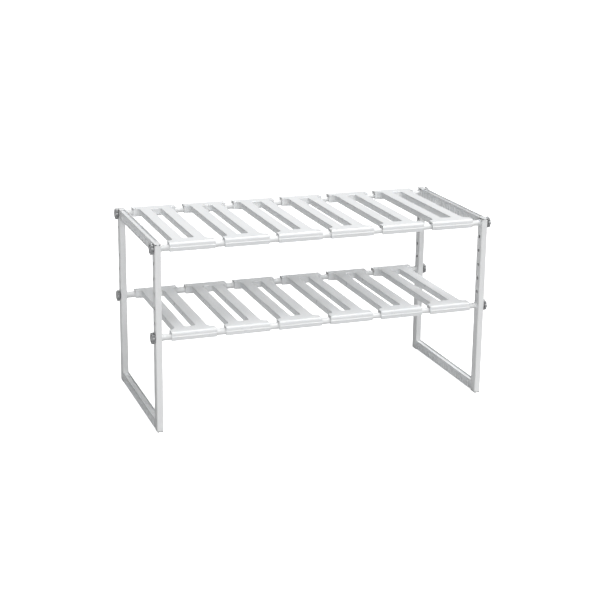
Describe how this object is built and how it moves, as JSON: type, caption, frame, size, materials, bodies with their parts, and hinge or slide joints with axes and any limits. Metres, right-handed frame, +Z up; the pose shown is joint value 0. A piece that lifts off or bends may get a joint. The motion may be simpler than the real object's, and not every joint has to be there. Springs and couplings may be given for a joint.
{
  "type": "tiered shelf riser",
  "caption": "Free-standing two-tier shelf riser: open end frames joined by telescoping poles, with slotted panels clipped across the poles.",
  "frame": {"origin": "on the floor, in the middle of the footprint", "axes": "+X to the right along the width, +Y to the back, +Z up"},
  "size_m": [0.7242, 0.324, 0.386],
  "materials": {
    "white_paint": "white powder coat, satin",
    "white_plastic": "white moulded polypropylene, satin",
    "knob_grey": "grey moulded plastic, semi-gloss",
    "zinc": "zinc-plated steel",
    "foot_plastic": "pale grey moulded plastic"
  },
  "bodies": {
    "left_frame": {"post_front_left": "white_paint", "post_cap_front_left": "white_plastic", "foot_front_left": "foot_plastic", "post_back_left": "white_paint", "post_cap_back_left": "white_plastic", "foot_back_left": "foot_plastic", "bottom_rail_left": "white_plastic", "top_rail_left": "white_plastic", "end_plug_lower_front_left": "white_plastic", "end_plug_lower_back_left": "white_plastic", "end_plug_upper_front_left": "white_plastic", "end_plug_upper_back_left": "white_plastic", "outer_tube_lower_front": "white_paint", "outer_tube_lower_back": "white_paint", "outer_tube_upper_front": "white_paint", "outer_tube_upper_back": "white_paint"},
    "right_frame": {"post_front_right": "white_paint", "post_cap_front_right": "white_plastic", "foot_front_right": "foot_plastic", "post_back_right": "white_paint", "post_cap_back_right": "white_plastic", "foot_back_right": "foot_plastic", "bottom_rail_right": "white_plastic", "top_rail_right": "white_plastic", "end_plug_lower_front_right": "white_plastic", "end_plug_lower_back_right": "white_plastic", "end_plug_upper_front_right": "white_plastic", "end_plug_upper_back_right": "white_plastic", "inner_tube_lower_front": "white_paint", "inner_tube_lower_back": "white_paint", "inner_tube_upper_front": "white_paint", "inner_tube_upper_back": "white_paint"},
    "panel_lower_1_body": {"panel_lower_1": "white_plastic"},
    "panel_lower_2_body": {"panel_lower_2": "white_plastic"},
    "panel_lower_3_body": {"panel_lower_3": "white_plastic"},
    "panel_lower_4_body": {"panel_lower_4": "white_plastic"},
    "panel_lower_5_body": {"panel_lower_5": "white_plastic"},
    "panel_lower_6_body": {"panel_lower_6": "white_plastic"},
    "panel_upper_1_body": {"panel_upper_1": "white_plastic"},
    "panel_upper_2_body": {"panel_upper_2": "white_plastic"},
    "panel_upper_3_body": {"panel_upper_3": "white_plastic"},
    "panel_upper_4_body": {"panel_upper_4": "white_plastic"},
    "panel_upper_5_body": {"panel_upper_5": "white_plastic"},
    "panel_upper_6_body": {"panel_upper_6": "white_plastic"},
    "knob_lower_front_left_body": {"knob_lower_front_left": "knob_grey", "knob_stud_lower_front_left": "zinc"},
    "knob_lower_back_left_body": {"knob_lower_back_left": "knob_grey", "knob_stud_lower_back_left": "zinc"},
    "knob_upper_front_left_body": {"knob_upper_front_left": "knob_grey", "knob_stud_upper_front_left": "zinc"},
    "knob_upper_back_left_body": {"knob_upper_back_left": "knob_grey", "knob_stud_upper_back_left": "zinc"},
    "knob_lower_front_right_body": {"knob_lower_front_right": "knob_grey", "knob_stud_lower_front_right": "zinc"},
    "knob_lower_back_right_body": {"knob_lower_back_right": "knob_grey", "knob_stud_lower_back_right": "zinc"},
    "knob_upper_front_right_body": {"knob_upper_front_right": "knob_grey", "knob_stud_upper_front_right": "zinc"},
    "knob_upper_back_right_body": {"knob_upper_back_right": "knob_grey", "knob_stud_upper_back_right": "zinc"}
  },
  "joints": [
    {"name": "width_slide", "type": "slide", "parent": "left_frame", "child": "right_frame", "axis": [1, 0, 0], "range_m": [-0.112, 0.04]},
    {"name": "panel_lower_1_slide", "type": "slide", "parent": "left_frame", "child": "panel_lower_1_body", "axis": [1, 0, 0], "range_m": [-0.01242, 0.0045]},
    {"name": "panel_lower_2_slide", "type": "slide", "parent": "left_frame", "child": "panel_lower_2_body", "axis": [1, 0, 0], "range_m": [-0.02989, 0.01074]},
    {"name": "panel_lower_3_slide", "type": "slide", "parent": "left_frame", "child": "panel_lower_3_body", "axis": [1, 0, 0], "range_m": [-0.04736, 0.01698]},
    {"name": "panel_lower_4_slide", "type": "slide", "parent": "left_frame", "child": "panel_lower_4_body", "axis": [1, 0, 0], "range_m": [-0.06484, 0.02322]},
    {"name": "panel_lower_5_slide", "type": "slide", "parent": "left_frame", "child": "panel_lower_5_body", "axis": [1, 0, 0], "range_m": [-0.08231, 0.02946]},
    {"name": "panel_lower_6_slide", "type": "slide", "parent": "left_frame", "child": "panel_lower_6_body", "axis": [1, 0, 0], "range_m": [-0.09978, 0.0357]},
    {"name": "panel_upper_1_slide", "type": "slide", "parent": "left_frame", "child": "panel_upper_1_body", "axis": [1, 0, 0], "range_m": [-0.01242, 0.0045]},
    {"name": "panel_upper_2_slide", "type": "slide", "parent": "left_frame", "child": "panel_upper_2_body", "axis": [1, 0, 0], "range_m": [-0.02989, 0.01074]},
    {"name": "panel_upper_3_slide", "type": "slide", "parent": "left_frame", "child": "panel_upper_3_body", "axis": [1, 0, 0], "range_m": [-0.04736, 0.01698]},
    {"name": "panel_upper_4_slide", "type": "slide", "parent": "left_frame", "child": "panel_upper_4_body", "axis": [1, 0, 0], "range_m": [-0.06484, 0.02322]},
    {"name": "panel_upper_5_slide", "type": "slide", "parent": "left_frame", "child": "panel_upper_5_body", "axis": [1, 0, 0], "range_m": [-0.08231, 0.02946]},
    {"name": "panel_upper_6_slide", "type": "slide", "parent": "left_frame", "child": "panel_upper_6_body", "axis": [1, 0, 0], "range_m": [-0.09978, 0.0357]},
    {"name": "knob_lower_front_left_turn", "type": "hinge", "parent": "left_frame", "child": "knob_lower_front_left_body", "pos_m": [-0.355, -0.15, 0.194], "axis": [1, 0, 0], "continuous": true},
    {"name": "knob_lower_back_left_turn", "type": "hinge", "parent": "left_frame", "child": "knob_lower_back_left_body", "pos_m": [-0.355, 0.15, 0.194], "axis": [1, 0, 0], "continuous": true},
    {"name": "knob_upper_front_left_turn", "type": "hinge", "parent": "left_frame", "child": "knob_upper_front_left_body", "pos_m": [-0.355, -0.15, 0.374], "axis": [1, 0, 0], "continuous": true},
    {"name": "knob_upper_back_left_turn", "type": "hinge", "parent": "left_frame", "child": "knob_upper_back_left_body", "pos_m": [-0.355, 0.15, 0.374], "axis": [1, 0, 0], "continuous": true},
    {"name": "knob_lower_front_right_turn", "type": "hinge", "parent": "right_frame", "child": "knob_lower_front_right_body", "pos_m": [0.355, -0.15, 0.194], "axis": [1, 0, 0], "continuous": true},
    {"name": "knob_lower_back_right_turn", "type": "hinge", "parent": "right_frame", "child": "knob_lower_back_right_body", "pos_m": [0.355, 0.15, 0.194], "axis": [1, 0, 0], "continuous": true},
    {"name": "knob_upper_front_right_turn", "type": "hinge", "parent": "right_frame", "child": "knob_upper_front_right_body", "pos_m": [0.355, -0.15, 0.374], "axis": [1, 0, 0], "continuous": true},
    {"name": "knob_upper_back_right_turn", "type": "hinge", "parent": "right_frame", "child": "knob_upper_back_right_body", "pos_m": [0.355, 0.15, 0.374], "axis": [1, 0, 0], "continuous": true}
  ],
  "couplings": [
    {"joint": "panel_lower_1_slide", "follows": "width_slide", "ratio": 0.11},
    {"joint": "panel_lower_2_slide", "follows": "width_slide", "ratio": 0.266},
    {"joint": "panel_lower_3_slide", "follows": "width_slide", "ratio": 0.422},
    {"joint": "panel_lower_4_slide", "follows": "width_slide", "ratio": 0.578},
    {"joint": "panel_lower_5_slide", "follows": "width_slide", "ratio": 0.734},
    {"joint": "panel_lower_6_slide", "follows": "width_slide", "ratio": 0.89},
    {"joint": "panel_upper_1_slide", "follows": "width_slide", "ratio": 0.11},
    {"joint": "panel_upper_2_slide", "follows": "width_slide", "ratio": 0.266},
    {"joint": "panel_upper_3_slide", "follows": "width_slide", "ratio": 0.422},
    {"joint": "panel_upper_4_slide", "follows": "width_slide", "ratio": 0.578},
    {"joint": "panel_upper_5_slide", "follows": "width_slide", "ratio": 0.734},
    {"joint": "panel_upper_6_slide", "follows": "width_slide", "ratio": 0.89}
  ]
}
